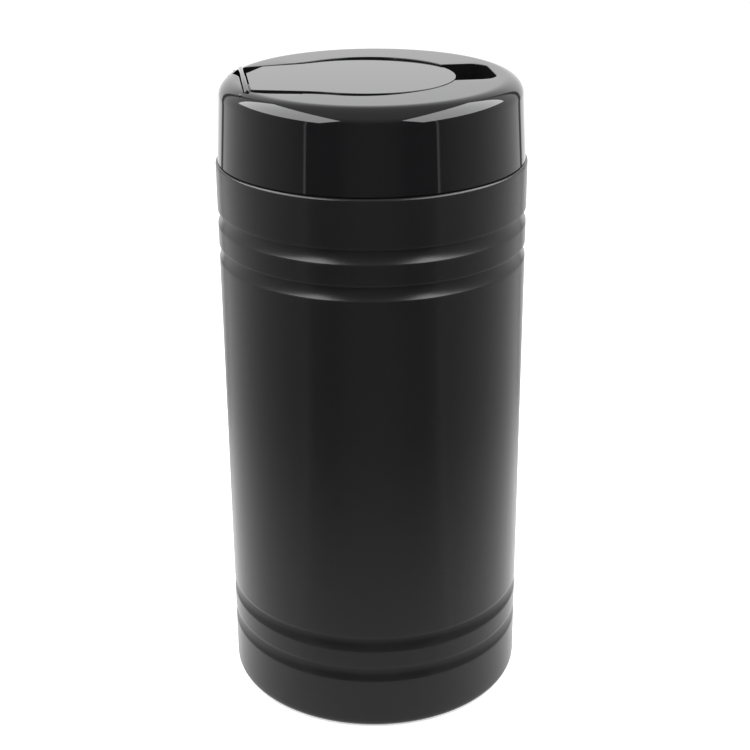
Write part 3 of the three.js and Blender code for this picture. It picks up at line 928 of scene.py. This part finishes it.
def cloth(name):
    material = bpy.data.materials.new(name)
    material.use_nodes = True
    tree = material.node_tree
    shader = tree.nodes["Principled BSDF"]
    shader.inputs["Roughness"].default_value = CLOTH_ROUGHNESS
    shader.inputs["Sheen Weight"].default_value = CLOTH_SHEEN
    place = node(tree, "ShaderNodeTexCoord")
    fibres = node(tree, "ShaderNodeTexNoise")
    fibres.inputs["Scale"].default_value = FIBRE_SCALE
    fibres.inputs["Detail"].default_value = FIBRE_DETAIL
    emboss = node(tree, "ShaderNodeTexVoronoi")
    emboss.inputs["Scale"].default_value = EMBOSS_SCALE
    shade = node(tree, "ShaderNodeValToRGB")
    shade.color_ramp.elements[0].color = CLOTH_SHADE
    shade.color_ramp.elements[1].color = CLOTH_WHITE
    height = node(tree, "ShaderNodeMath", operation="ADD")
    bump = node(tree, "ShaderNodeBump")
    bump.inputs["Distance"].default_value = CLOTH_RELIEF
    join = tree.links.new
    join(place.outputs["Object"], fibres.inputs["Vector"])
    join(place.outputs["Object"], emboss.inputs["Vector"])
    join(fibres.outputs["Fac"], shade.inputs["Fac"])
    join(shade.outputs["Color"], shader.inputs["Base Color"])
    join(fibres.outputs["Fac"], height.inputs[0])
    join(emboss.outputs["Distance"], height.inputs[1])
    join(height.outputs[0], bump.inputs["Height"])
    join(bump.outputs["Normal"], shader.inputs["Normal"])
    return material


WIPE_CLOTH = cloth("wipe cloth")


def roll_profile():
    # The ends are stepped turn by turn, and never stand above the solid roll
    turns = int((ROLL_RADIUS - ROLL_CORE - 2 * ROLL_EDGE) / ROLL_TURN)
    lows, highs = [], []
    for i in range(turns):
        inner = ROLL_CORE + ROLL_EDGE + i * ROLL_TURN
        sunk = TURN_SINK * (1 + math.sin(i * TURN_DRIFT)) / 2
        for share, dip in TURN_SHAPE:
            radius = inner + share * ROLL_TURN * TURN_FILL
            depth = sunk + TURN_STEP * dip
            lows.append((radius, ROLL_LOW + depth))
            highs.append((radius, ROLL_HIGH - depth))
    outer_low, outer_high = ROLL_LOW + ROLL_EDGE, ROLL_HIGH - ROLL_EDGE
    side = [(ROLL_RADIUS, outer_low), (ROLL_RADIUS, outer_high)]
    bore = [(ROLL_CORE, outer_high), (ROLL_CORE, outer_low)]
    return lows + side + highs[::-1] + bore


roll = turned(
    "wipes_roll_turns", roll_profile(), ROLL_SEGMENTS, WIPE_CLOTH, closed=True, sharp_angle=50)
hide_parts("wipes_roll")
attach(roll, "canister")


# Lead wipe
# The wipe pulled up from the middle of the roll: gathered into deep twisted folds where the slits
# grip it, and opening a little at its tip under the lid.
LEAD_RISE = 112.0 * mm
LEAD_ROOT = ROLL_LOW + LEAD_RISE
LEAD_GRIP = WELL_FLOOR - POCKET_WALL / 2
LEAD_TIP_GAP = 2.2 * mm
LEAD_TIP = CAP_TOP - LID_THICKNESS - LEAD_TIP_GAP
# Heights up the lead, and how far the gathered cloth reaches from the axis there
LEAD_STATIONS = [
    (LEAD_ROOT, 11.6 * mm), (LEAD_ROOT + 10 * mm, 11.6 * mm), (LEAD_ROOT + 30 * mm, 7.6 * mm),
    (LEAD_GRIP - 22 * mm, 4.5 * mm), (LEAD_GRIP, 4.4 * mm), (LEAD_TIP - 1.5 * mm, 5.5 * mm),
    (LEAD_TIP - 0.4 * mm, 5.0 * mm)]
LEAD_ROWS = 120
LEAD_COLUMNS = 120
LEAD_TWIST = math.radians(150)
LEAD_FOLDS = 5
FOLD_DEPTH = 0.14
CREASE_DEPTH = 0.05
CREASE_RATE = 2.4
CREASE_DRIFT = 9
RUFFLE_HEIGHT = 0.4 * mm
RUFFLE_WAVES = 3
RUFFLE_PHASE = 1.3
TIP_DIMPLE = 1.6 * mm


def lead_radius(z):
    for (low, start), (high, end) in zip(LEAD_STATIONS, LEAD_STATIONS[1:]):
        if z <= high:
            share = max(0, (z - low) / (high - low))
            share = share * share * (3 - 2 * share)
            return start + (end - start) * share
    return LEAD_STATIONS[-1][1]


def fold_share(angle, twist, climb):
    # Deep folds with finer creases between them, which drift round on the way up
    phase = LEAD_FOLDS * (angle + twist)
    folds = FOLD_DEPTH * (1 - math.cos(phase))
    creases = CREASE_DEPTH * (1 - math.cos(CREASE_RATE * phase + CREASE_DRIFT * climb))
    return 1 - folds - creases


def make_lead():
    top = LEAD_STATIONS[-1][0]
    vertices = []
    for row in range(LEAD_ROWS + 1):
        climb = row / LEAD_ROWS
        z = LEAD_ROOT + (top - LEAD_ROOT) * climb
        twist = LEAD_TWIST * (z - LEAD_ROOT) / (LEAD_TIP - LEAD_ROOT)
        ruffle = RUFFLE_HEIGHT if row == LEAD_ROWS else 0
        for column in range(LEAD_COLUMNS):
            angle = 2 * math.pi * column / LEAD_COLUMNS
            radius = lead_radius(z) * fold_share(angle, twist, climb)
            lift = ruffle * math.sin(RUFFLE_WAVES * angle + RUFFLE_PHASE)
            vertices.append((radius * math.cos(angle), radius * math.sin(angle), z + lift))
    vertices += [(0, 0, LEAD_ROOT), (0, 0, top - TIP_DIMPLE)]
    root, tip = len(vertices) - 2, len(vertices) - 1
    last = LEAD_ROWS * LEAD_COLUMNS
    faces = []
    for row in range(LEAD_ROWS):
        low, high = row * LEAD_COLUMNS, (row + 1) * LEAD_COLUMNS
        for column in range(LEAD_COLUMNS):
            after = (column + 1) % LEAD_COLUMNS
            faces.append((low + column, low + after, high + after, high + column))
    for column in range(LEAD_COLUMNS):
        after = (column + 1) % LEAD_COLUMNS
        faces.append((root, after, column))
        faces.append((tip, last + column, last + after))
    mesh = bpy.data.meshes.new("lead_wipe")
    mesh.from_pydata(vertices, [], faces)
    mesh.materials.append(WIPE_CLOTH)
    face_outwards(mesh, sharp_angle=70)
    return new_piece("lead_wipe", mesh)


lead = make_lead()
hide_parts("wipes_roll")
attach(lead, "canister")


bpy.context.scene.view_settings.view_transform = "Standard"
